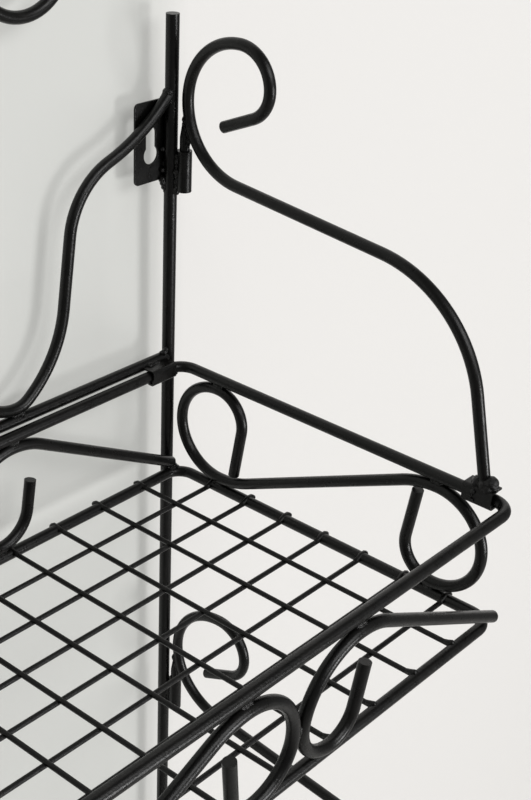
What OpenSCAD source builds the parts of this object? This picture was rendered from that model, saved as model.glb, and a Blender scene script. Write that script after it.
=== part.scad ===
// Wall shelf bent from round steel rod. Two posts carry two wire trays, and each tray hangs in front
// from two scroll arms that swing inwards on upright pins.
// Millimetres, +Z up. The wall is the plane Y = 0 and the shelf stands out towards -Y.
// The origin lies midway between the screw seats of the two keyhole plates.

/* [Rod stock] */
// Diameter of the two posts
post_d = 8; // [7:0.5:10]
// Diameter of the rod in rails, scrolls, arms and crossbars
rod_d = 7; // [6:0.5:8]
// Diameter of the floor wires
wire_d = 3; // [2:0.5:4]
// Thickness of the sheet in hooks and clips
sheet = 1.2; // [0.8:0.1:1.6]

/* [Wall frame] */
// Distance between the post axes
post_gap = 348; // [320:1:400]
// Height of the post tops above the screw seats
post_rise = 67; // [55:1:120]
// Length of the posts below the lower tray's back rail
post_tail = 98; // [90:1:140]
// Height from one tier to the next
tier_gap = 388; // [370:1:392]
// Height of the crossbar over the tray's back rail
crossbar_lift = 4.5; // [4:0.5:8]
// Height above the post tops at which the crest starts to curl
crest_lift = 33.5; // [20:0.5:80]

/* [Keyhole plates] */
// Width of a plate
plate_w = 30; // [26:1:40]
// Height of a plate
plate_h = 49; // [44:1:60]
// Thickness of a plate
plate_t = 1.5; // [1:0.1:1.8]
// Height of a plate's lower edge below the screw seats
plate_drop = 31; // [28:1:40]
// Corner radius of a plate
plate_r = 3; // [1:0.5:6]
// Distance of the screw seats from the post axes
seat_inset = 13.5; // [12:0.5:16]
// Width of the keyhole's slot
slot_w = 5.5; // [4:0.5:6]
// Diameter of the keyhole's round end
entry_d = 8; // [7:0.5:9]
// Distance from the screw seat down to the round end's centre
entry_drop = 14; // [12:0.5:16]

/* [Trays] */
// Depth of a tray between its top rails' centrelines
tray_d = 246; // [220:1:270]
// Height between the centrelines of a tray's two rings
tray_h = 76; // [70:1:84]
// Distance by which a tray's front leans out from its bottom ring to its top ring
front_flare = 4.6; // [0:0.2:8]
// Distance of the front scrolls outside the front rails
front_out = 3; // [0:0.1:4]
// Depth of the upper tray's top ring below the screw seats
tray_drop = 151; // [145:1:160]
// Distance of the side rails outside the post axes
side_out = 3.5; // [3:0.1:4]
// Gap between the posts and a tray's back rails
back_gap = 0.3; // [0.2:0.1:0.8]
// Radius of the rings' corners, to the centreline
corner_r = 12; // [10:0.5:16]
// Number of mesh cells from side to side
cells_wide = 10; // [8:1:12]
// Number of mesh cells from back to front
cells_deep = 8; // [6:1:10]
// Depth to which crossing floor wires are pressed into each other
wire_press = 1.5; // [1:0.1:1.8]
// Depth of the upper floor wires' tops below the top of the bottom ring
wire_sink = 0.7; // [0:0.1:2]
// Distance of the side scrolls from the front rail's centreline
scroll_gap = 15.3; // [8:0.1:24]
// Distance of the side scrolls from the back rail's centreline
scroll_back = 2.2; // [0:0.1:10]

/* [Arms] */
// Height of an arm's highest point above the top ring
arm_h = 209; // [190:1:230]
// Length of a hinge barrel
barrel_h = 25; // [20:1:28]
// Depth of a barrel's lower end below the arm's highest point
barrel_drop = 95; // [94:1:104]
// Diameter of a hinge pin
pin_d = 6; // [5:0.5:6.5]
// Height of a pin's tip above its barrel
pin_up = 18; // [14:0.5:20]
// Length of a clip along the side rail
clip_l = 19; // [14:1:22]
// Space between a clip and the top of the rail
clip_head = 1.5; // [1:0.1:2]
// Length of a back hook along the back rail
hook_l = 20; // [14:1:24]

/* [Hidden] */
// Clearance that a weld fills
weld = 0.05;
// Radial clearance of a pin in its barrel
pin_fit = 0.06;
// Clearance between a rail and the sheet that holds it
seat_fit = 0.3;
// Length of the joint sleeve between two stretches of a bent rod, and its thickness
lap = 0.2;
skin = 0.015;
finish = "#1d1d1c";

post_r = post_d / 2;
rod_r = rod_d / 2;
post_x = post_gap / 2;
post_y = -plate_t - post_r;
rail_x = post_x + side_out;
back_y = post_y - post_r - rod_r - back_gap;
front_y = back_y - tray_d;
floor_d = tray_d - front_flare;
crossbar_z = crossbar_lift - tray_drop;
post_drop = tray_drop + tier_gap + post_tail;

// Heights in a tray, above its top ring's centreline
touch = rod_d + weld;
deep_wire_z = rod_r - tray_h - wire_sink - wire_d / 2;
wide_wire_z = deep_wire_z - wire_d + wire_press;
barrel_z = arm_h - barrel_drop;

// The clip and the hook wrap a rail with the same sheet
wall_a = rod_r + seat_fit;
clip_top = rod_r + clip_head + sheet;
clip_end = tray_d - corner_r + 1;
foot_lean = 12.7;
foot_s = clip_end - clip_l / 2 + 1.5;
foot_z = clip_top + rod_r * sin(foot_lean) + weld;
bend_r = 2;

SIDES = ["left", "right"];
TIERS = ["upper", "lower"];
PER_SIDE = ["post_", "mounting_plate_", "wall_scroll_"];
PER_TIER = ["crossbar", "tray_top_ring", "tray_bottom_ring", "front_to_back_wires", "side_to_side_wires"];
PER_CORNER = [
  "back_hook_", "hinge_barrel_", "hinge_pin_", "arm_scroll_", "arm_clip_", "side_scroll_", "front_scroll_", "back_scroll_"
];

// A bent rod is a list of stretches: [0, length] is straight, [radius, turn] is a bend, left turns positive.
function stretch_end(s, h) = s[0] == 0
  ? s[1] * [cos(h), sin(h)]
  : s[0] * sign(s[1]) * [sin(h + s[1]) - sin(h), cos(h) - cos(h + s[1])];
function turn_of(s) = s[0] == 0 ? 0 : s[1];
// How far a rod gets when it sets off at heading h, and the heading at its end
function reach(p, h, i = 0) = i == len(p) ? [0, 0] : stretch_end(p[i], h) + reach(p, h + turn_of(p[i]), i + 1);
function heading(p, h, i = 0) = i == len(p) ? h : heading(p, h + turn_of(p[i]), i + 1);
// The same rod bent from its other end
function backwards(p) = [for (i = [len(p) - 1 : -1 : 0]) [p[i][0], p[i][0] == 0 ? p[i][1] : -p[i][1]]];
function cross2(a, b) = a[0] * b[1] - a[1] * b[0];
function ray(h) = [cos(h), sin(h)];

// A straight run and a bend that rise by up and level out along by the angle that fits
function climb(along, up, lean) = let(
    h = lean * atan2(up, along),
    r = (sin(h) * along - cos(h) * up) / (1 - cos(h)),
    l = (sin(h) * up - (1 - cos(h)) * along) / (1 - cos(h))
  ) [h, [[0, l], [r, -h]]];

module straight(l) {
  rotate([0, 90, 0]) cylinder(d = rod_d, h = l, $fn = 32);
}

module sleeve() {
  translate([-lap, 0, 0]) rotate([0, 90, 0]) cylinder(d = rod_d + 2 * skin, h = 2 * lap, $fn = 32);
}

// Each end that meets another stretch stops half a lap short, under the sleeve.
module bend(r, a, before, after) {
  cut_in = before * lap / 2 / r * 180 / PI;
  cut_out = after * lap / 2 / r * 180 / PI;
  translate([0, sign(a) * r, 0])
    rotate([0, 0, a > 0 ? cut_in - 90 : 90 + a + cut_out])
      rotate_extrude(angle = abs(a) - cut_in - cut_out, $fn = 96)
        translate([r, 0]) circle(d = rod_d, $fn = 32);
}

module rod(p, i = 0) {
  before = i > 0 ? 1 : 0;
  after = i < len(p) - 1 ? 1 : 0;
  if (p[i][0] == 0) translate([before * lap / 2, 0, 0]) straight(p[i][1] - (before + after) * lap / 2);
  else bend(p[i][0], p[i][1], before, after);
  if (after == 1) {
    end = stretch_end(p[i], 0);
    translate([end[0], end[1], 0]) rotate([0, 0, turn_of(p[i])]) {
      sleeve();
      rod(p, i + 1);
    }
  }
}

// A rod that starts at a point of its plane and sets off at a heading
module rod_from(start, h, p) {
  translate([start[0], start[1], 0]) rotate([0, 0, h]) rod(p);
}

// Pieces are drawn for the left side, and the right side mirrors them.
module on_side(side) {
  mirror([side == "right" ? 1 : 0, 0, 0]) children();
}

// The plane of a tray's side, with its first axis pointing forwards from the back rail
module side_plane() {
  translate([-rail_x, back_y, 0]) rotate([90, 0, -90]) children();
}

// An upright or leaning plane that faces the room, with its first axis pointing from left to right
module wall_plane(x, y, lean = 0) {
  translate([x, y, 0]) rotate([90 + lean, 0, 0]) children();
}

function arc(c, r, from, to, n = 6) = [for (i = [0 : n]) c + r * ray(from + (to - from) * i / n)];

// Sheet bent to a channel round a rail, open to the left, with its wall at a distance from the rail's centre
module channel(top_l, lip_l, above, l) {
  x = wall_a + sheet;
  high = above + sheet;
  low = -rod_r - seat_fit - sheet;
  r_in = bend_r - sheet;
  linear_extrude(l) polygon(concat(
    [[x - top_l, high]],
    arc([x - bend_r, high - bend_r], bend_r, 90, 0),
    arc([x - bend_r, low + bend_r], bend_r, 0, -90),
    [[x - lip_l, low], [x - lip_l, low + sheet]],
    arc([x - bend_r, low + bend_r], r_in, -90, 0),
    arc([x - bend_r, high - bend_r], r_in, 0, 90),
    [[x - top_l, above]]
  ));
}

module post() {
  color(finish) translate([-post_x, post_y, -post_drop]) cylinder(d = post_d, h = post_drop + post_rise, $fn = 48);
}

// The space that a post needs, to fit the end of a rod against it
module post_clearance() {
  translate([-post_x, post_y, -post_drop - 1]) cylinder(d = post_d + 2 * weld, h = post_drop + post_rise + 2, $fn = 48);
}

module keyhole() {
  translate([0, -entry_drop]) circle(d = entry_d, $fn = 48);
  translate([-slot_w / 2, -entry_drop]) square([slot_w, entry_drop]);
  circle(d = slot_w, $fn = 48);
}

module mounting_plate() {
  left = -post_x - post_r - 0.5;
  low = -plate_drop;
  right = left + plate_w - plate_r;
  high = low + plate_h - plate_r;
  color(finish) rotate([90, 0, 0]) linear_extrude(plate_t - weld) difference() {
    polygon(concat(
      arc([left + plate_r, low + plate_r], plate_r, 180, 270),
      arc([right, low + plate_r], plate_r, 270, 360),
      arc([right, high], plate_r, 0, 90),
      arc([left + plate_r, high], plate_r, 90, 180)
    ));
    translate([seat_inset - post_x, 0]) keyhole();
  }
}

// From the post the rod falls in a long S to the crossbar, rises beside the centre line and curls over outwards.
module wall_scroll() {
  k = post_gap / 348;
  start_h = -42.7;
  fall = [[0, 9.6 * k], [122.7 * k, 23.6], [45.9 * k, -63.1], [0, 42.5 * k], [71.7 * k, 45.6], [15.6 * k, 36.6]];
  foot = [reach(fall, start_h)[0], crossbar_z + touch];
  start = foot - reach(fall, start_h);
  lift = [30 * k, 72];
  side_step = post_x - touch / 2 - foot[0] - stretch_end(lift, 0)[0];
  ease = [side_step / (1 - sin(72)), 18];
  rise = [0, post_rise + crest_lift - foot[1] - reach([lift, ease], 0)[1]];
  crest = [[51.6 * k, 90], [40.5 * k, 90], [31.5 * k, 130]];
  color(finish) difference() {
    wall_plane(-post_x, post_y) rod_from(start, start_h, concat(fall, [lift, ease, rise], crest));
    post_clearance();
  }
}

module crossbar() {
  color(finish) difference() {
    translate([-post_x, post_y, crossbar_z]) rotate([0, 90, 0]) cylinder(d = rod_d, h = post_gap, $fn = 48);
    post_clearance();
    mirror([1, 0, 0]) post_clearance();
  }
}

// A ring is one rod that closes at the middle of the tray's back.
module ring(depth) {
  half = rail_x - corner_r;
  side = depth - 2 * corner_r;
  corner = [corner_r, 90];
  color(finish) translate([0, back_y, 0]) rotate([0, 0, 180]) {
    rod([[0, half], corner, [0, side], corner, [0, 2 * half], corner, [0, side], corner, [0, half - lap / 2]]);
    sleeve();
  }
}

// The floor wires end inside the bottom ring's rod.
module front_to_back_wires() {
  pitch = 2 * rail_x / cells_wide;
  color(finish) for (i = [1 : cells_wide - 1])
    translate([i * pitch - rail_x, back_y, deep_wire_z])
      rotate([90, 0, 0]) cylinder(d = wire_d, h = floor_d, $fn = 24);
}

module side_to_side_wires() {
  pitch = floor_d / cells_deep;
  color(finish) for (i = [1 : cells_deep - 1])
    translate([-rail_x, back_y - i * pitch, wide_wire_z])
      rotate([0, 90, 0]) cylinder(d = wire_d, h = 2 * rail_x, $fn = 24);
}

// Hook of bent sheet that holds the tray's back rail against the crossbar
module back_hook() {
  reach_back = post_y - rod_r - weld - back_y;
  color(finish) translate([-post_x + post_r + 1.5, back_y, 0]) rotate([90, 0, 90])
    mirror([1, 0, 0]) channel(wall_a + sheet + reach_back, wall_a + sheet, rod_r + seat_fit, hook_l);
}

module hinge_barrel() {
  barrel_r = norm([side_out, post_y - back_y]) - post_r - weld;
  color(finish) translate([-rail_x, back_y, barrel_z]) difference() {
    cylinder(r = barrel_r, h = barrel_h, $fn = 48);
    translate([0, 0, -1]) cylinder(d = pin_d + 2 * pin_fit, h = barrel_h + 2, $fn = 48);
  }
}

// The pin's bare end turns in the barrel and its tapered tip is welded into the arm's curl.
module hinge_pin() {
  taper = 10;
  body = barrel_h + pin_up - taper;
  color(finish) translate([-rail_x, back_y, barrel_z]) {
    translate([0, 0, 1]) cylinder(d = pin_d, h = body - 1, $fn = 48);
    translate([0, 0, body]) cylinder(d1 = pin_d, d2 = pin_d / 2, h = taper, $fn = 48);
  }
}

// From its foot on the clip the arm leans back, sweeps to the wall and curls over forwards above the hinge.
module arm_scroll() {
  k = arm_h / 209;
  foot_h = 90 + foot_lean;
  sweep_h = 174.5;
  curl_r = 39 * k;
  back = [2, arm_h - curl_r];
  shoulder = [78.7 * k, sweep_h - foot_h];
  turn_up = [42.9 * k, 90 - sweep_h];
  gap = back - [foot_s, foot_z] - stretch_end(shoulder, foot_h) - stretch_end(turn_up, sweep_h);
  shank = cross2(gap, ray(sweep_h)) / cross2(ray(foot_h), ray(sweep_h));
  sweep = cross2(ray(foot_h), gap) / cross2(ray(foot_h), ray(sweep_h));
  curl = [[curl_r, -90], [22.3 * k, -90], [18.8 * k, -66.4], [0, 24 * k]];
  color(finish) side_plane()
    rod_from([foot_s, foot_z], foot_h, concat([[0, shank], shoulder, [0, sweep], turn_up], curl));
}

// Clip of bent sheet on the arm's foot, open to the outside, that the side rail lies in
module arm_clip() {
  color(finish) translate([-rail_x, back_y - clip_end + clip_l, 0]) rotate([90, 0, 0])
    channel(2 * wall_a + 2 * sheet, wall_a + sheet + 1, rod_r + clip_head, clip_l);
}

// An S with a spiral at each end, alike about its middle
module side_scroll() {
  half_h = tray_h / 2 - touch;
  half_l = (tray_d - scroll_gap - scroll_back) / 2;
  outer_r = 1.08 * half_h;
  turn = 66;
  curl_r = (2 * half_h - outer_r * (1 - cos(turn))) / (1 + cos(turn));
  slope = climb(half_l - outer_r * sin(turn) - curl_r * (1 - sin(turn)), half_h, 1.158);
  run = slope[1][0][1];
  spiral = [slope[1][1], [outer_r, -turn], [curl_r, -118], [0.65 * half_h, -95], [0, 1.03 * half_h]];
  half = concat([[0, run]], spiral);
  middle = [half_l + scroll_back, -tray_h / 2];
  start = middle - reach(half, slope[0]);
  color(finish) side_plane()
    rod_from(start, heading(half, slope[0]), concat(backwards(spiral), [[0, 2 * run]], spiral));
}

// From the ring's corner the rod climbs to the top rail and curls back down beside the tray's centre line.
module panel_scroll(y, lean, out, start, share, curl_turn, tip) {
  gap = sqrt(touch * touch - out * out);
  height = tray_h / cos(lean) - 2 * gap;
  outer_r = share * height;
  slope = climb(rail_x - touch / 2 - outer_r - start[0], height - start[1], 1.08);
  curl = [[outer_r, -90], [height - outer_r, -curl_turn], [tip[0] * height, curl_turn - 171], [0, tip[1] * height]];
  color(finish) wall_plane(-rail_x, y, lean) translate([0, 0, out])
    rod_from([start[0], start[1] - gap - height], slope[0], concat(slope[1], curl));
}

module front_scroll() {
  panel_scroll(front_y, atan2(front_flare, tray_h), front_out, [4, 0.7], 0.59, 84, [0.26, 0.42]);
}

module back_scroll() {
  panel_scroll(back_y, 0, 0, [7, 0], 0.58, 74, [0.34, 0.3]);
}

module in_tier(tier) {
  translate([0, 0, tier == "upper" ? -tray_drop : -tray_drop - tier_gap]) children();
}

for (side = SIDES) on_side(side) {
  post();
  mounting_plate();
  wall_scroll();
}

for (tier = TIERS) {
  translate([0, 0, tier == "upper" ? 0 : -tier_gap]) crossbar();
  in_tier(tier) {
    ring(tray_d);
    translate([0, 0, -tray_h]) ring(floor_d);
    front_to_back_wires();
    side_to_side_wires();
  }
  for (side = SIDES) in_tier(tier) on_side(side) {
    back_hook();
    hinge_barrel();
    hinge_pin();
    arm_scroll();
    arm_clip();
    side_scroll();
    front_scroll();
    back_scroll();
  }
}
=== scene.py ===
"""Looks of the wall shelf: black powder coat on rod, floor wire and sheet, and the weld beads that join them.

Lengths are in metres. Rows of weld drops and of wire ends are in millimetres, as their comments say.
"""

import math
import random

import bmesh
import bpy
from mathutils import Matrix, Vector, noise
from mathutils.bvhtree import BVHTree


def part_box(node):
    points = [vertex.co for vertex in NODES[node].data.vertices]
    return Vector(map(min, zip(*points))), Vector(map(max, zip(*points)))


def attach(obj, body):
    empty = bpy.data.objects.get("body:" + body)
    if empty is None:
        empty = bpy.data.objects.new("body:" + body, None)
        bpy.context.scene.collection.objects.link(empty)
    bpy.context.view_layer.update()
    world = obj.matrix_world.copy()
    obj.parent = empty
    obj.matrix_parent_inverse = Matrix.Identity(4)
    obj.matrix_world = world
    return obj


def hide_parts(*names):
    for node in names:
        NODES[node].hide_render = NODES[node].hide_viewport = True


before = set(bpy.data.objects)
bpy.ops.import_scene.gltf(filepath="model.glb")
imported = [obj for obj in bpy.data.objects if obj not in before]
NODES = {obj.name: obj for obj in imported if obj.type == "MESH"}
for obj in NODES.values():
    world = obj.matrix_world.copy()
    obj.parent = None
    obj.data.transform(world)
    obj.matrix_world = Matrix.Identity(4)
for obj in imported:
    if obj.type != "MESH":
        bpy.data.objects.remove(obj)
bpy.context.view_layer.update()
scene = bpy.context.scene
TIERS = ("upper", "lower")
SIDES = ("left", "right")
PANELS = ("front_scroll_", "back_scroll_")
ROOT = "frame_and_trays"
# Millimetres in a metre
MM = 1000
# Radius of the rails' rod in millimetres
RAIL_RADIUS = 3.5

# The camera of the photograph
CAMERA_AT = Vector((-0.4190, -0.5761, 0.2501))
AZIMUTH, ELEVATION, ROLL = (math.radians(angle) for angle in (50.48, 27.41, -2.81))
FOCAL_PIXELS = 1443.0
PHOTO_HEIGHT = 800
SENSOR = 36

# The coat's mottle and uneven gloss, as noise scales, and the relief of its orange peel
MOTTLE_SCALE = 90
GLOSS_SCALE = 240
PEEL_DEPTH = 0.0004
FINE_SHARE = 0.25
COAT_SPECULAR = 0.3

# A bead's drops: spacing and scatter as shares of the radius, range of sizes, uneven skin, and the fineness
# of the mesh that joins them
DROP_SPACING = 0.8
DROP_SCATTER = 0.12
DROP_SMALLEST, DROP_LARGEST = 0.9, 1.12
DROP_NOISE_SCALE = 900
DROP_NOISE_DEPTH = 0.00035
DROP_VOXEL = 0.0003

# Weld drops as (x, y, z, radius) in millimetres, for the right side.
# These heights count from the screw seats.
PLATE_SEAM_TAIL = ((169.9, -3.0, -30.4, 2.6), (170.1, -3.3, -33.0, 2.2), (170.5, -3.7, -35.6, 1.7),
                   (170.9, -4.1, -38.0, 1.2), (169.8, -2.8, -25.0, 1.7), (169.8, -2.8, -12.0, 1.6))
# These count from the middle of the tray's top rail.
HOOK_DROPS = ((169.4, -17.0, -2.0, 1.5), (169.9, -16.6, -2.9, 1.2),
              (168.9, -7.2, 8.0, 2.3), (167.2, -6.4, 8.2, 1.7), (170.0, -7.6, 10.4, 1.6))
BACK_SCROLL_DROPS = ((171.2, -13.9, -71.6, 2.9), (172.9, -15.0, -73.6, 2.6), (169.4, -14.2, -72.6, 2.0))
FOOT_DROPS = ((177.2, -243.9, 8.8, 4.3), (177.4, -246.2, 7.2, 3.2), (176.2, -241.4, 7.4, 3.9),
              (174.6, -243.6, 6.4, 2.8), (176.6, -236.2, 7.2, 2.7), (174.4, -235.6, 6.0, 2.0),
              (172.7, -236.4, 3.4, 1.6), (172.2, -235.2, 0.4, 1.5), (172.3, -236.6, -2.4, 1.3))
# These count from the top of the hinge barrel.
BARREL_SEAM = [(174.0 + 0.2 * (i % 2), -10.4, -3.5 - 3.1 * i, (1.7, 2.1, 1.5, 2.2)[i % 4])
               for i in range(6)]
CROOK_DROPS = ((177.2, -16.6, 15.0, 2.6), (177.0, -17.2, 11.0, 2.7), (177.2, -16.9, 7.2, 2.3),
               (176.6, -16.4, 4.2, 1.5))
# The weld that closes a ring: its drops' radius, and how far they lie from the rod's middle, in millimetres
CLOSING_DROP = 1.3
CLOSING_REACH = 3.1
CLOSING_SHIFT = 0.4

# A wire's end as (way out past the middle of the bottom rail, height over it), in millimetres
OVER_BACK = ((-7, 1.3), (-3, 1.7), (0, 2.3), (2.8, 1.9), (4.1, 0.9))
OVER_SIDE = ((-7, -0.2), (-4, 0.8), (-1, 2.3), (2.6, 2.0), (3.8, 1.2))
ON_FRONT = ((-7, 1.3), (-4, 2.2), (-1.6, 3.2))
WIRE_RADII = (0.0015, 0.00152, 0.0016, 0.00172, 0.0019)
# Beyond its last row an end is rounded off, as (way out, radius) in shares of the last radius.
ROUNDED_TIP = ((0.45, 0.88), (0.8, 0.55))
TUBE_SIDES = 12
TUBE_NOISE_SCALE = 600
TUBE_UNEVENNESS = 0.16
# Wires whose points lie further apart than this are two wires.
WIRE_GAP = 0.002

# The plate with its keyhole: a slot for the screw's shank over a round entry for its head
PLATE_THICK = 0.00145
PLATE_CORNER = 0.003
PLATE_EDGE = 0.0003
KEYHOLE_X = 0.1615
SLOT_RADIUS, SLOT_Z = 0.0040, -0.0016
ENTRY_RADIUS, ENTRY_Z = 0.0057, -0.0142

# The wall stands behind the plates by as much as the photograph's shadows tell.
WALL_Y = 0.0115
WALL_TOP = 2.2
FLOOR_Z = -1.7
STAGE_REACH = 3.0
STAGE_COLOUR = (0.80, 0.79, 0.77)
STAGE_ROUGHNESS = 0.9
# Painted light: the wall turns brighter between these two places along X, as if more light fell on it beyond
# them.
PAINTED_LIGHT_FROM, PAINTED_LIGHT_TO = 0.165, 0.205

WORLD_COLOUR = (1.0, 0.99, 0.975, 1)
WORLD_STRENGTH = 0.2


def make_camera():
    level = math.cos(ELEVATION)
    forward = Vector((math.sin(AZIMUTH) * level, math.cos(AZIMUTH) * level, -math.sin(ELEVATION)))
    right = forward.cross(Vector((0, 0, 1))).normalized()
    up = right.cross(forward)
    rolled_up = up * math.cos(ROLL) + right * math.sin(ROLL)
    rolled_right = right * math.cos(ROLL) - up * math.sin(ROLL)
    data = bpy.data.cameras.new("camera")
    data.sensor_fit = "AUTO"
    data.sensor_width = SENSOR
    data.lens = FOCAL_PIXELS / PHOTO_HEIGHT * SENSOR
    data.clip_start, data.clip_end = 0.01, 50
    camera = bpy.data.objects.new("camera", data)
    scene.collection.objects.link(camera)
    turn = Matrix((rolled_right, rolled_up, -forward)).transposed()
    camera.matrix_world = Matrix.Translation(CAMERA_AT) @ turn.to_4x4()
    scene.camera = camera


def material(name):
    made = bpy.data.materials.new(name)
    made.use_nodes = True
    tree = made.node_tree
    return made, tree, tree.nodes["Principled BSDF"]


def noise_socket(tree, scale, detail):
    coordinates = tree.nodes.new("ShaderNodeTexCoord")
    texture = tree.nodes.new("ShaderNodeTexNoise")
    texture.inputs["Scale"].default_value = scale
    texture.inputs["Detail"].default_value = detail
    tree.links.new(coordinates.outputs["Object"], texture.inputs["Vector"])
    return texture.outputs["Fac"]


def mapped(tree, source, low, high, from_low=0.3, from_high=0.7):
    node = tree.nodes.new("ShaderNodeMapRange")
    node.inputs["From Min"].default_value = from_low
    node.inputs["From Max"].default_value = from_high
    node.inputs["To Min"].default_value = low
    node.inputs["To Max"].default_value = high
    tree.links.new(source, node.inputs["Value"])
    return node.outputs["Result"]


def colour_ramp(tree, source, low, high, low_at=0.0, high_at=1.0):
    """A colour that goes from low to high while the source goes from low_at to high_at."""
    node = tree.nodes.new("ShaderNodeValToRGB")
    first, last = node.color_ramp.elements
    first.position, last.position = low_at, high_at
    first.color, last.color = (*low, 1), (*high, 1)
    tree.links.new(source, node.inputs["Fac"])
    return node.outputs["Color"]


def computed(tree, operation, *sources):
    """A math node over sockets and numbers."""
    node = tree.nodes.new("ShaderNodeMath")
    node.operation = operation
    for socket, source in zip(node.inputs, sources):
        if isinstance(source, float):
            socket.default_value = source
        else:
            tree.links.new(source, socket)
    return node.outputs["Value"]


def powder_coat(name, dark, light, rough, peel, grain):
    """Satin powder coat: a slightly mottled black, uneven gloss and a fine orange peel."""
    made, tree, shader = material(name)
    mottle = colour_ramp(tree, noise_socket(tree, MOTTLE_SCALE, 4), dark, light, 0.35, 0.7)
    tree.links.new(mottle, shader.inputs["Base Color"])
    shader.inputs["Specular IOR Level"].default_value = COAT_SPECULAR
    gloss = mapped(tree, noise_socket(tree, GLOSS_SCALE, 2), rough - 0.04, rough + 0.05)
    tree.links.new(gloss, shader.inputs["Roughness"])
    peel_noise = noise_socket(tree, grain, 2)
    fine_noise = noise_socket(tree, grain * 4, 1)
    bump = tree.nodes.new("ShaderNodeBump")
    bump.inputs["Strength"].default_value = peel
    bump.inputs["Distance"].default_value = PEEL_DEPTH
    height = computed(tree, "MULTIPLY_ADD", fine_noise, FINE_SHARE, peel_noise)
    tree.links.new(height, bump.inputs["Height"])
    tree.links.new(bump.outputs["Normal"], shader.inputs["Normal"])
    return made


ROD_COAT = powder_coat("rod_powder_coat", dark=(0.0022, 0.0022, 0.0021), light=(0.0050, 0.0048, 0.0043),
                       rough=0.30, peel=0.22, grain=900)
WIRE_COAT = powder_coat("wire_powder_coat", dark=(0.0022, 0.0022, 0.0021), light=(0.0048, 0.0046, 0.0041),
                        rough=0.36, peel=0.25, grain=1100)
SHEET_COAT = powder_coat("sheet_powder_coat", dark=(0.0020, 0.0020, 0.0019), light=(0.0048, 0.0046, 0.0041),
                         rough=0.30, peel=0.3, grain=700)
WELD_COAT = powder_coat("weld_powder_coat", dark=(0.0035, 0.0035, 0.0034), light=(0.0090, 0.0087, 0.0083),
                        rough=0.18, peel=0.8, grain=1300)


def dress():
    """Gives each piece of the frame its coat."""
    for name, obj in NODES.items():
        if "wires" in name:
            coat = WIRE_COAT
        elif any(word in name for word in ("plate", "hook", "clip", "barrel")):
            coat = SHEET_COAT
        else:
            coat = ROD_COAT
        obj.data.materials.clear()
        obj.data.materials.append(coat)


def add_piece(name, mesh, coat, body):
    """A visual piece of its own that rides on a body."""
    obj = bpy.data.objects.new(name, mesh)
    scene.collection.objects.link(obj)
    mesh.materials.append(coat)
    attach(obj, body)
    return obj


def surface_points(obj, step=0.0008):
    """Points along every edge of a piece, close enough together to find where it touches another."""
    mesh, points = obj.data, []
    for edge in mesh.edges:
        start, end = (mesh.vertices[i].co for i in edge.vertices)
        parts = max(1, math.ceil((end - start).length / step))
        points += [start.lerp(end, i / parts) for i in range(parts + 1)]
    return points


def search_tree(obj):
    corners = [vertex.co for vertex in obj.data.vertices]
    return BVHTree.FromPolygons(corners, [face.vertices for face in obj.data.polygons])


known_points, known_trees = {}, {}


def contacts(piece, other, near=0.0004, apart=0.012, reach=0.002, tie=0.00012):
    """The places where a piece comes nearest to another, each as its middle and the direction along it."""
    if piece not in known_points:
        known_points[piece] = surface_points(NODES[piece])
    if other not in known_trees:
        known_trees[other] = search_tree(NODES[other])
    low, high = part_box(other)
    found = []
    for point in known_points[piece]:
        if all(low[i] - reach < point[i] < high[i] + reach for i in range(3)):
            nearest, _, _, distance = known_trees[other].find_nearest(point, near)
            if nearest is not None:
                found.append((distance, (point + nearest) / 2))
    groups = []
    for distance, point in sorted(found, key=lambda entry: entry[0]):
        for group in groups:
            if (group[0][1] - point).length < apart:
                group.append((distance, point))
                break
        else:
            groups.append([(distance, point)])
    places = []
    for group in groups:
        best = group[0][0]
        close = [point for distance, point in group if distance < best + tie]
        middle = sum(close, Vector()) / len(close)
        far = max((point for _, point in group), key=lambda point: (point - middle).length)
        places.append((middle, (far - middle).normalized()))
    return places


def random_place(chance):
    return Vector((chance.uniform(-9, 9), chance.uniform(-9, 9), chance.uniform(-9, 9)))


def add_drop(metal, middle, along, size, chance):
    """One drop of weld metal, a little uneven."""
    made = bmesh.ops.create_icosphere(metal, subdivisions=3, radius=1)
    turn = along.to_track_quat("X", "Z").to_matrix().to_4x4()
    stretch = Matrix.Diagonal((*size, 1))
    bmesh.ops.transform(metal, matrix=Matrix.Translation(middle) @ turn @ stretch, verts=made["verts"])
    place = random_place(chance)
    for vertex in made["verts"]:
        bulge = noise.noise(vertex.co * DROP_NOISE_SCALE + place)
        vertex.co += (vertex.co - middle).normalized() * bulge * DROP_NOISE_DEPTH


def bead_mesh(beads, seed):
    """Weld beads as overlapping drops, joined and smoothed. A bead is (middle, direction, length, radius)."""
    chance = random.Random(seed)
    metal = bmesh.new()
    for middle, along, length, radius in beads:
        drops = max(1, round(length / (radius * DROP_SPACING)))
        for i in range(drops):
            offset = (i - (drops - 1) / 2) * length / drops
            size = radius * chance.uniform(DROP_SMALLEST, DROP_LARGEST)
            scatter = Vector([chance.uniform(-1, 1) for _ in range(3)]) * radius * DROP_SCATTER
            add_drop(metal, middle + along * offset + scatter, along, (size * 0.95, size, size), chance)
    mesh = bpy.data.meshes.new("drops")
    metal.to_mesh(mesh)
    metal.free()
    maker = bpy.data.objects.new("bead_maker", mesh)
    scene.collection.objects.link(maker)
    remesh = maker.modifiers.new("join", "REMESH")
    remesh.mode = "VOXEL"
    remesh.voxel_size = DROP_VOXEL
    remesh.use_smooth_shade = True
    smooth = maker.modifiers.new("soften", "SMOOTH")
    smooth.factor, smooth.iterations = 0.5, 4
    return mesh_from(maker)


def mesh_from(maker):
    """The final mesh of an object that was only made to get it, and is removed."""
    depsgraph = bpy.context.evaluated_depsgraph_get()
    mesh = bpy.data.meshes.new_from_object(maker.evaluated_get(depsgraph))
    bpy.data.objects.remove(maker)
    return mesh


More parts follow.
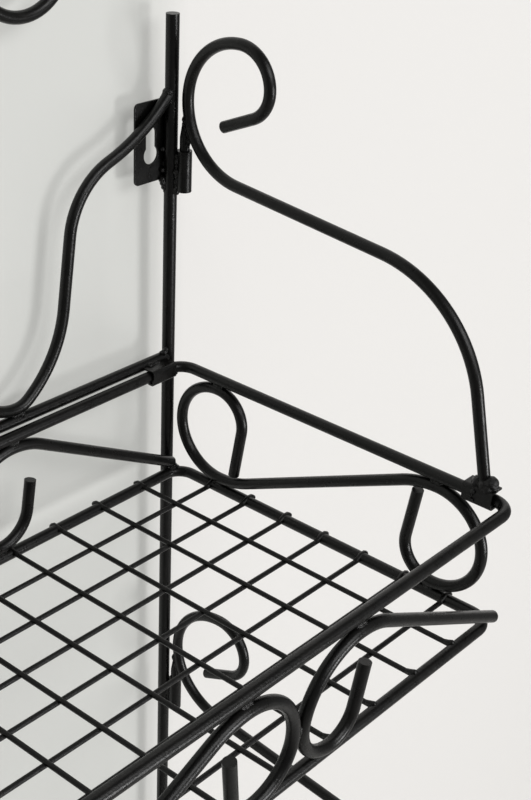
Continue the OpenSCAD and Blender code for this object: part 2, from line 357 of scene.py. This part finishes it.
def weld(name, body, beads, seed):
    mesh = bead_mesh(beads, seed)
    mesh.name = name
    add_piece(name, mesh, WELD_COAT, body)


def beads_between(piece, other, radius, length, most=None):
    """Beads of one size where two pieces touch, at no more than the most closest places if that is given."""
    return [(middle, along, length, radius) for middle, along in contacts(piece, other)[:most]]


def drop_beads(side, rows, level=0):
    """Single drops for one side, from rows for the right one. Heights count from a level in millimetres."""
    sign = 1 if side == "right" else -1
    upwards = Vector((0, 0, 1))
    return [(Vector((sign * x, y, level + z)) / MM, upwards, radius / MM, radius / MM)
            for x, y, z, radius in rows]


def rail_level(tier):
    """Height of the middle of the tray's top rail in millimetres."""
    low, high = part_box(f"{tier}_tray_top_ring")
    return (low[2] + high[2]) / 2 * MM


def barrel_top(tier, side):
    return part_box(f"{tier}_hinge_barrel_{side}")[1][2] * MM


def wall_beads(side):
    beads = beads_between("wall_scroll_" + side, "post_" + side, radius=0.0034, length=0.007, most=1)
    beads += beads_between("wall_scroll_" + side, "upper_crossbar", radius=0.0030, length=0.007, most=1)
    beads += beads_between("mounting_plate_" + side, "post_" + side, radius=0.0022, length=0.012, most=1)
    # The seam of the plate runs out down the post in a thin tail.
    beads += drop_beads(side, PLATE_SEAM_TAIL)
    return beads


def tray_beads(tier, side):
    rail = rail_level(tier)
    rings = (f"{tier}_tray_top_ring", f"{tier}_tray_bottom_ring")
    beads = beads_between(f"{tier}_hinge_barrel_{side}", "post_" + side, radius=0.0024, length=0.016, most=1)
    # The barrel's seam shows as a row of lumps between it and the post.
    beads += drop_beads(side, BARREL_SEAM, barrel_top(tier, side))
    hook = f"{tier}_back_hook_{side}"
    beads += beads_between(hook, f"{tier}_crossbar", radius=0.0024, length=0.008, most=1)
    beads += drop_beads(side, HOOK_DROPS, rail)
    for ring in rings:
        beads += beads_between(f"{tier}_side_scroll_{side}", ring, radius=0.0026, length=0.006)
    for panel in PANELS:
        for ring in rings:
            beads += beads_between(f"{tier}_{panel}{side}", ring, radius=0.0028, length=0.006)
    # The back scroll's start is drowned in weld on the ring's corner.
    beads += drop_beads(side, BACK_SCROLL_DROPS, rail)
    return beads


def arm_beads(tier, side):
    arm = f"{tier}_arm_scroll_{side}"
    beads = beads_between(arm, f"{tier}_hinge_pin_{side}", radius=0.0030, length=0.007, most=1)
    # The arm's crook is filled down to the pin, and its foot stands in a run of drops on the clip.
    beads += drop_beads(side, CROOK_DROPS, barrel_top(tier, side))
    beads += beads_between(arm, f"{tier}_arm_clip_{side}", radius=0.0042, length=0.005, most=1)
    beads += drop_beads(side, FOOT_DROPS, rail_level(tier))
    return beads


def closing_beads(tier, ring):
    """The weld round the rod that closes a ring, in the middle of its back rail."""
    low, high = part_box(f"{tier}_tray_{ring}_ring")
    y, z = high[1] * MM - RAIL_RADIUS, (low[2] + high[2]) / 2 * MM
    rows = []
    for i in range(6):
        turn = math.radians(60 * i)
        rows.append((CLOSING_SHIFT * (-1) ** i, y + CLOSING_REACH * math.cos(turn),
                     z + CLOSING_REACH * math.sin(turn), CLOSING_DROP))
    return drop_beads("right", rows)


def make_welds():
    seeds = iter(range(1, 100))
    for side in SIDES:
        weld(f"wall_frame_welds_{side}", ROOT, wall_beads(side), next(seeds))
        for tier in TIERS:
            weld(f"{tier}_tray_welds_{side}", ROOT, tray_beads(tier, side), next(seeds))
            weld(f"{tier}_arm_welds_{side}", f"{tier}_{side}_arm", arm_beads(tier, side), next(seeds))
    middle = beads_between("wall_scroll_left", "wall_scroll_right", radius=0.0020, length=0.006, most=2)
    weld("wall_scroll_welds", ROOT, middle, next(seeds))
    for tier in TIERS:
        middle = []
        for panel in PANELS:
            scrolls = (f"{tier}_{panel}left", f"{tier}_{panel}right")
            middle += beads_between(*scrolls, radius=0.0022, length=0.006, most=1)
        for ring in ("top", "bottom"):
            middle += closing_beads(tier, ring)
        weld(f"{tier}_middle_welds", ROOT, middle, next(seeds))


def add_tube(shell, path, radii, chance):
    """A closed tube with round ends along a path, a little uneven."""
    place = random_place(chance)
    points = [path[0], *path]
    sizes = [radii[0] * 0.5, *radii]
    tip = (path[-1] - path[-2]).normalized()
    for out, share in ROUNDED_TIP:
        points.append(path[-1] + tip * radii[-1] * out)
        sizes.append(radii[-1] * share)
    rings = []
    for i, point in enumerate(points):
        ahead = points[min(i + 1, len(points) - 1)] - points[max(i - 1, 0)]
        turn = ahead.to_track_quat("Z", "X").to_matrix()
        ring = []
        for k in range(TUBE_SIDES):
            angle = 2 * math.pi * k / TUBE_SIDES
            offset = turn @ Vector((math.cos(angle), math.sin(angle), 0)) * sizes[i]
            wobble = 1 + TUBE_UNEVENNESS * noise.noise((point + offset) * TUBE_NOISE_SCALE + place)
            ring.append(shell.verts.new(point + offset * wobble))
        rings.append(ring)
    for ring, following in zip(rings[:-1], rings[1:]):
        for k in range(TUBE_SIDES):
            beside = (k + 1) % TUBE_SIDES
            shell.faces.new((ring[k], ring[beside], following[beside], following[k]))
    shell.faces.new(list(reversed(rings[0])))
    shell.faces.new(rings[-1])


def add_wire_end(shell, base, out, rows, chance):
    """One wire's end from a base on the rail's middle line, along the rows of (way out, height)."""
    shift = chance.uniform(-0.4, 0.4)
    swell = chance.uniform(0.95, 1.12)
    path, radii = [], []
    for i, (way, height) in enumerate(rows):
        path.append(base + out * (way + shift * (i > 1)) / MM + Vector((0, 0, height / MM)))
        radii.append(WIRE_RADII[i] * (swell if i > 1 else 1))
    add_tube(shell, path, radii, chance)


def wire_places(node, axis):
    """Where the wires of a node lie, side by side along an axis."""
    values = sorted(vertex.co[axis] for vertex in NODES[node].data.vertices)
    groups = [[values[0]]]
    for value in values:
        if value - groups[-1][-1] < WIRE_GAP:
            groups[-1].append(value)
        else:
            groups.append([value])
    return [(group[0] + group[-1]) / 2 for group in groups]


def wire_ends(tier, seed):
    """Behind and beside, wires climb over the rail and end in a knob. In front they end on its inner side."""
    chance = random.Random(seed)
    low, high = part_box(f"{tier}_tray_bottom_ring")
    centre = (low[2] + high[2]) / 2
    rail = RAIL_RADIUS / MM
    back, front, beside = high[1] - rail, low[1] + rail, high[0] - rail
    shell = bmesh.new()
    for x in wire_places(f"{tier}_front_to_back_wires", 0):
        add_wire_end(shell, Vector((x, back, centre)), Vector((0, 1, 0)), OVER_BACK, chance)
        add_wire_end(shell, Vector((x, front, centre)), Vector((0, -1, 0)), ON_FRONT, chance)
    for y in wire_places(f"{tier}_side_to_side_wires", 1):
        for sign in (-1, 1):
            add_wire_end(shell, Vector((sign * beside, y, centre)), Vector((sign, 0, 0)), OVER_SIDE, chance)
    name = f"{tier}_wire_ends"
    mesh = bpy.data.meshes.new(name)
    shell.to_mesh(mesh)
    shell.free()
    mesh.polygons.foreach_set("use_smooth", [True] * len(mesh.polygons))
    add_piece(name, mesh, WIRE_COAT, ROOT)


def arc(x, z, radius, angles):
    turns = [math.radians(angle) for angle in angles]
    return [(x + radius * math.cos(turn), z + radius * math.sin(turn)) for turn in turns]


def keyhole_plate(side):
    """The plate with rounded edges and a keyhole as wide as the photographed one."""
    hole_x = KEYHOLE_X if side == "right" else -KEYHOLE_X
    (left, _, bottom), (right, _, top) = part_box("mounting_plate_" + side)
    outline = []
    for x, z, start in ((right - PLATE_CORNER, bottom + PLATE_CORNER, -90),
                        (right - PLATE_CORNER, top - PLATE_CORNER, 0),
                        (left + PLATE_CORNER, top - PLATE_CORNER, 90),
                        (left + PLATE_CORNER, bottom + PLATE_CORNER, 180)):
        outline += arc(x, z, PLATE_CORNER, [start + angle for angle in range(0, 91, 15)])
    neck = math.degrees(math.asin(SLOT_RADIUS / ENTRY_RADIUS))
    keyhole = arc(hole_x, SLOT_Z, SLOT_RADIUS, range(0, 181, 12))
    round_entry = [90 + neck + (360 - 2 * neck) * i / 36 for i in range(37)]
    keyhole += arc(hole_x, ENTRY_Z, ENTRY_RADIUS, round_entry)
    curve = bpy.data.curves.new("plate_outline", "CURVE")
    curve.dimensions, curve.fill_mode = "2D", "BOTH"
    curve.extrude = PLATE_THICK / 2 - PLATE_EDGE
    curve.bevel_depth, curve.bevel_resolution, curve.offset = PLATE_EDGE, 3, -PLATE_EDGE
    for loop in (outline, keyhole):
        spline = curve.splines.new("POLY")
        spline.points.add(len(loop) - 1)
        for point, (x, z) in zip(spline.points, loop):
            point.co = (x, z, 0, 1)
        spline.use_cyclic_u = True
    maker = bpy.data.objects.new("plate_maker", curve)
    scene.collection.objects.link(maker)
    mesh = mesh_from(maker)
    upright = Matrix.Rotation(math.radians(90), 4, "X")
    mesh.transform(Matrix.Translation((0, -PLATE_THICK / 2, 0)) @ upright)
    mesh.name = f"keyhole_plate_{side}"
    obj = add_piece(mesh.name, mesh, SHEET_COAT, ROOT)
    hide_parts("mounting_plate_" + side)


def stage_plane(name, corners):
    """A wall or floor that lets the picture through where it is seen from behind."""
    mesh = bpy.data.meshes.new(name)
    mesh.from_pydata(corners, [], [(0, 1, 2, 3)])
    obj = bpy.data.objects.new(name, mesh)
    scene.collection.objects.link(obj)
    made, tree, shader = material(name)
    shader.inputs["Base Color"].default_value = (*STAGE_COLOUR, 1)
    shader.inputs["Roughness"].default_value = STAGE_ROUGHNESS
    geometry = tree.nodes.new("ShaderNodeNewGeometry")
    ray = tree.nodes.new("ShaderNodeLightPath")
    clear = tree.nodes.new("ShaderNodeBsdfTransparent")
    mix = tree.nodes.new("ShaderNodeMixShader")
    behind = computed(tree, "MULTIPLY", geometry.outputs["Backfacing"], ray.outputs["Is Camera Ray"])
    tree.links.new(behind, mix.inputs["Fac"])
    tree.links.new(shader.outputs["BSDF"], mix.inputs[1])
    tree.links.new(clear.outputs["BSDF"], mix.inputs[2])
    tree.links.new(mix.outputs["Shader"], tree.nodes["Material Output"].inputs["Surface"])
    mesh.materials.append(made)
    return tree, shader


def make_stage():
    reach = STAGE_REACH
    tree, shader = stage_plane("wall", [(-reach, WALL_Y, FLOOR_Z), (reach, WALL_Y, FLOOR_Z),
                                        (reach, WALL_Y, WALL_TOP), (-reach, WALL_Y, WALL_TOP)])
    # Painted light: the wall is a little brighter beyond the right post, as if more light fell there. It also
    # glows to the camera and in the coat's reflections, a painted fill light that keeps the shadows on it
    # light.
    coordinates = tree.nodes.new("ShaderNodeTexCoord")
    split = tree.nodes.new("ShaderNodeSeparateXYZ")
    tree.links.new(coordinates.outputs["Object"], split.inputs["Vector"])
    place = mapped(tree, split.outputs["X"], 0, 1, PAINTED_LIGHT_FROM, PAINTED_LIGHT_TO)
    for socket, left, right in (("Base Color", (0.400, 0.402, 0.386), (0.445, 0.437, 0.426)),
                                ("Emission Color", (0.310, 0.3125, 0.299), (0.420, 0.412, 0.400))):
        tree.links.new(colour_ramp(tree, place, left, right), shader.inputs[socket])
    # Painted fill light: the wall glows to camera and glossy rays, which lightens the shadows on it and
    # brightens the wall mirrored in the coat.
    ray = tree.nodes.new("ShaderNodeLightPath")
    seen = computed(tree, "MAXIMUM", ray.outputs["Is Camera Ray"], ray.outputs["Is Glossy Ray"])
    tree.links.new(seen, shader.inputs["Emission Strength"])
    stage_plane("floor", [(-reach, -reach, FLOOR_Z), (reach, -reach, FLOOR_Z),
                          (reach, reach, FLOOR_Z), (-reach, reach, FLOOR_Z)])


def area_light(name, at, aim, size, watts):
    data = bpy.data.lights.new(name, "AREA")
    data.shape = "RECTANGLE"
    data.size, data.size_y = size
    data.energy = watts
    obj = bpy.data.objects.new(name, data)
    scene.collection.objects.link(obj)
    obj.location = at
    obj.rotation_euler = (Vector(aim) - Vector(at)).to_track_quat("-Z", "Y").to_euler()


def make_light():
    world = bpy.data.worlds.new("studio")
    scene.world = world
    world.use_nodes = True
    background = world.node_tree.nodes["Background"]
    background.inputs["Color"].default_value = WORLD_COLOUR
    background.inputs["Strength"].default_value = WORLD_STRENGTH
    area_light("key", at=(0.80, -2.2, -0.45), aim=(0.05, 0, -0.1), size=(0.6, 0.6), watts=20)
    area_light("front_box", at=(0.3, -2.6, 1.5), aim=(0.05, 0, -0.2), size=(2.6, 1.4), watts=47)


make_camera()
dress()
make_welds()
for tier_seed, tier_name in enumerate(TIERS, start=40):
    wire_ends(tier_name, tier_seed)
for side_name in SIDES:
    keyhole_plate(side_name)
make_stage()
make_light()

scene.render.use_motion_blur = False
scene.view_settings.view_transform = "Standard"
